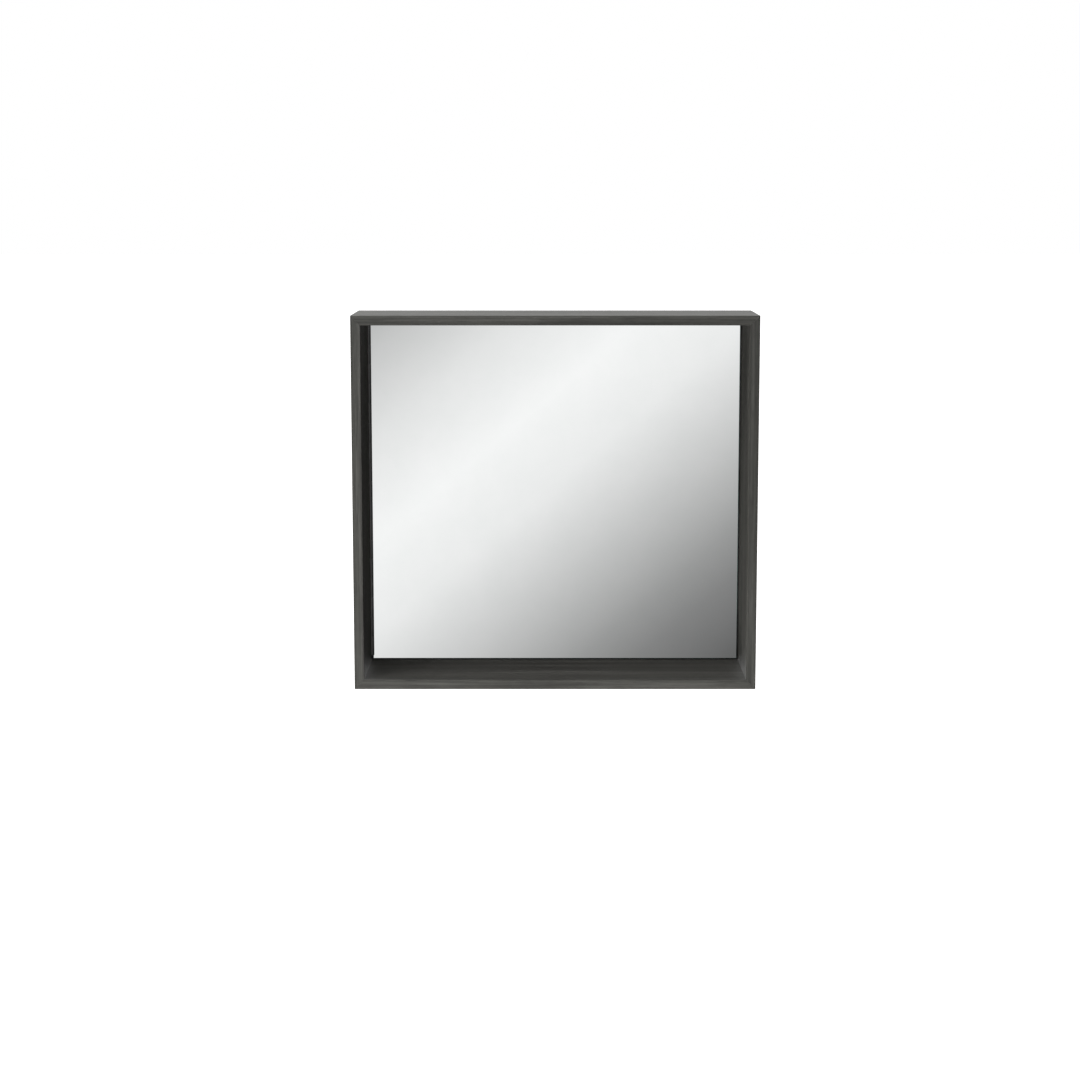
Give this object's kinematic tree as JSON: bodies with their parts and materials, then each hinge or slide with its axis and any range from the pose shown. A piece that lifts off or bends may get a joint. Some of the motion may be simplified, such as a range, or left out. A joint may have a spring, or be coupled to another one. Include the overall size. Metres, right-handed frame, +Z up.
{
  "type": "medicine cabinet with mirror",
  "caption": "Semi-recessed bathroom cabinet: deep open dark wood case, hinged mirror door at its rear, in-wall aluminium body with glass shelves.",
  "frame": {"origin": "centre of the wall opening, in the wall's surface; y = 0 is the rear face of the flange", "axes": "+X right seen from the room, +Y into the wall, +Z up; the case projects along -Y"},
  "size_m": [0.75, 0.2615, 0.7],
  "materials": {
    "case_veneer": "dark stained oak veneer, matt lacquer, fine horizontal grain",
    "beech": "raw pressed beech",
    "body_aluminium": "satin anodised sheet",
    "rivet_aluminium": "mill finish",
    "zinc_steel": "bright zinc plate",
    "black_steel": "black powder coat, matt",
    "mirror": "silvered float glass, bevelled and polished edge",
    "clear_glass": "clear float glass, polished edges",
    "door_backing": "black through-dyed fibreboard, sealed",
    "foam_tape": "closed-cell foam tape",
    "silicone": "translucent silicone",
    "peg_nickel": "nickel plate",
    "latch_plastic": "moulded acetal, fine texture",
    "magnet": "nickel-plated magnet",
    "spring_steel": "spring steel wire"
  },
  "bodies": {
    "cabinet": {"case_top": "case_veneer", "case_bottom": "case_veneer", "case_left": "case_veneer", "case_right": "case_veneer", "front_edging": "case_veneer", "corner_biscuits": "beech", "body_top": "body_aluminium", "body_bottom": "body_aluminium", "body_left": "body_aluminium", "body_right": "body_aluminium", "body_back": "body_aluminium", "stop_rails": "body_aluminium", "body_rivets": "rivet_aluminium", "case_screws": "zinc_steel", "latch_screws": "zinc_steel", "hinge_wall_leaf": "black_steel", "hinge_pin": "black_steel", "hinge_wall_screws": "black_steel", "shelf_lower": "clear_glass", "shelf_upper": "clear_glass", "shelf_pegs": "peg_nickel", "latch_housing": "latch_plastic", "latch_spring": "spring_steel"},
    "door": {"door_panel": "door_backing", "mirror_glass": "mirror", "mirror_tape": "foam_tape", "door_bumpers": "silicone", "strike_plate": "zinc_steel", "strike_screws": "zinc_steel", "hinge_door_leaf": "black_steel", "hinge_door_screws": "black_steel"},
    "plunger": {"latch_plunger": "latch_plastic", "latch_magnet": "magnet"}
  },
  "joints": [
    {"name": "door_hinge", "type": "hinge", "parent": "cabinet", "child": "door", "pos_m": [-0.3544, -0.0085, 0], "axis": [0, 0, -1], "range_deg": [0, 90]},
    {"name": "latch_push", "type": "slide", "parent": "cabinet", "child": "plunger", "axis": [0, 1, 0], "range_m": [0, 0.0025], "stiffness_N_per_m": 800, "springref_m": -0.004, "deforming": ["latch_spring"]}
  ]
}
